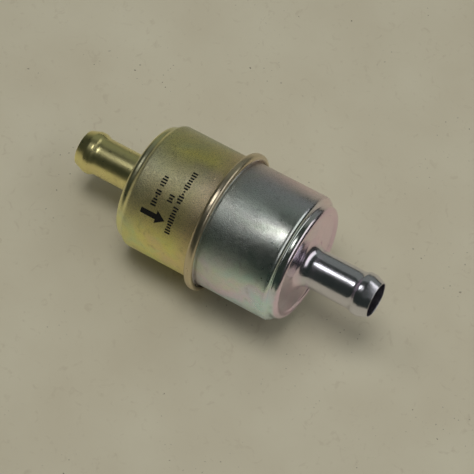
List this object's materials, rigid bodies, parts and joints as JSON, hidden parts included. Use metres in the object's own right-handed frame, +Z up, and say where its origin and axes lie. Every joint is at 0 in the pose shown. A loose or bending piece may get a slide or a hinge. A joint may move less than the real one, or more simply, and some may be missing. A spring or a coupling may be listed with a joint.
{
  "type": "in-line fuel filter",
  "caption": "In-line metal fuel filter: two drawn steel cups joined by a rolled hem, a beaded hose spigot at each end, and a sprung pleated paper element inside.",
  "frame": {"origin": "on the filter's axis, halfway between the tips of its two spigots, which is where the cups are joined", "axes": "+X along the axis from the inlet (gold cup) to the outlet (silver cup); +Z up as the filter lies on its side"},
  "size_m": [0.1072, 0.0474, 0.0474],
  "materials": {
    "yellow_zinc": "satin",
    "clear_zinc": "satin",
    "tinned_steel": "satin",
    "spring_steel": "gloss",
    "nitrile": "matte",
    "plastisol": "satin",
    "filter_paper": "matte",
    "mark_ink": "matte"
  },
  "bodies": {
    "housing": {"inlet_shell": "yellow_zinc", "outlet_shell": "clear_zinc", "seam_gasket": "nitrile", "element_spring": "spring_steel"},
    "element": {"seat_gasket": "nitrile", "inlet_end_cap": "tinned_steel", "outlet_end_cap": "tinned_steel", "inlet_potting": "plastisol", "outlet_potting": "plastisol", "filter_media": "filter_paper", "media_seam_clip": "tinned_steel", "centre_tube": "tinned_steel"}
  },
  "joints": [
    {"name": "element_lift", "type": "slide", "parent": "housing", "child": "element", "axis": [-1, 0, 0], "range_m": [0, 0.0015], "stiffness_N_per_m": 1480, "springref_m": -0.002, "deforming": ["element_spring"]}
  ]
}
